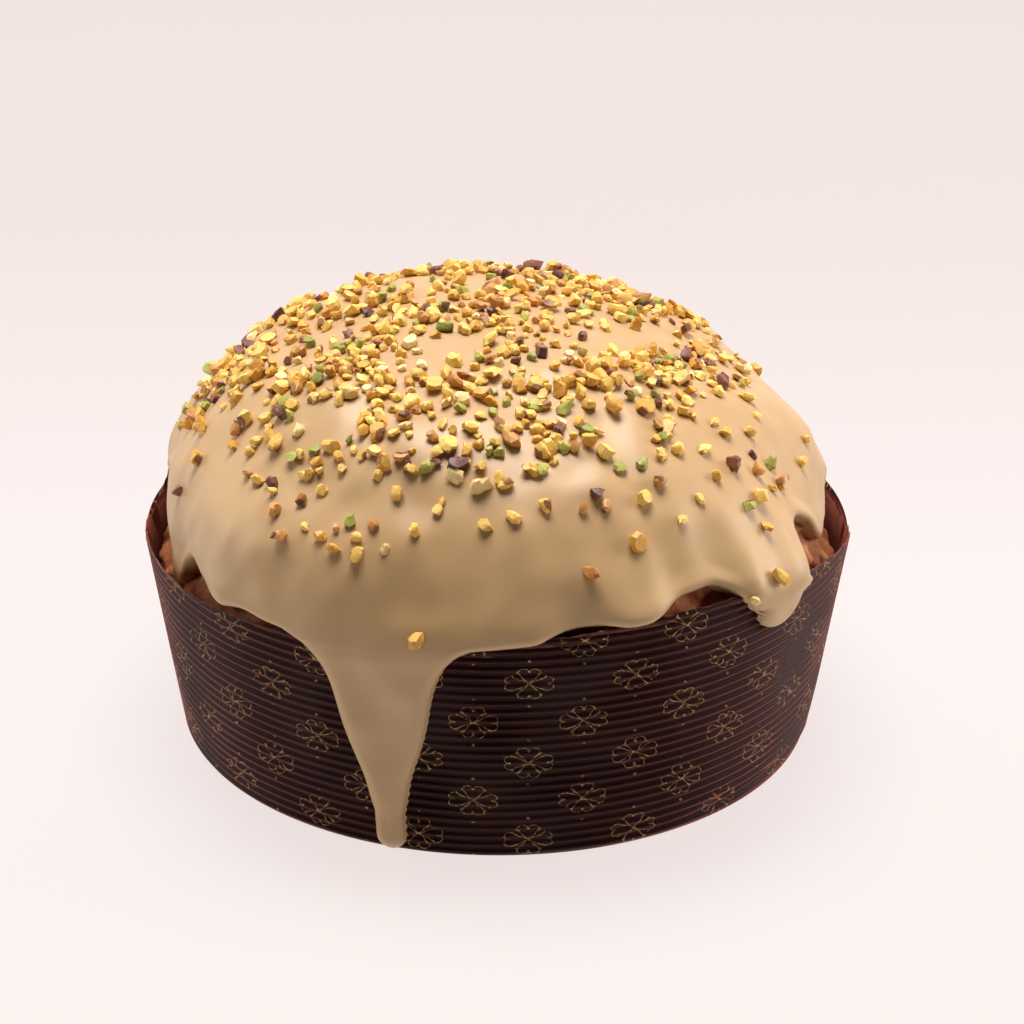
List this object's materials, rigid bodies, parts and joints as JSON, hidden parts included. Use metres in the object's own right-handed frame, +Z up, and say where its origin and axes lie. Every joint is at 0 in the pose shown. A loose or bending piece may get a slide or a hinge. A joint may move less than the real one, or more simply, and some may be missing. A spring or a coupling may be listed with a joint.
{
  "type": "panettone",
  "caption": "Low round panettone in a fluted paper baking case, its dome covered with poured caramel-coloured glaze that drips over the rim and a scatter of chopped pistachios.",
  "frame": {"origin": "centre of the flat round underside of the paper case, at the height of the table", "axes": "+Z up, -Y towards the side with the long drip that reaches the table, +X to its right"},
  "size_m": [0.2014, 0.205, 0.1247],
  "materials": {
    "paper": "dark brown printed baking paper, pressed into level flutes, satin",
    "crust": "baked crust, browned, rough and torn near the case",
    "glaze": "set poured glaze, smooth, soft gloss",
    "nuts": "chopped pistachio, golden, green, pale and brown-skinned chips"
  },
  "bodies": {
    "root": {"paper_case": "paper", "bread": "crust", "glaze_with_nuts": "glaze"}
  },
  "joints": []
}
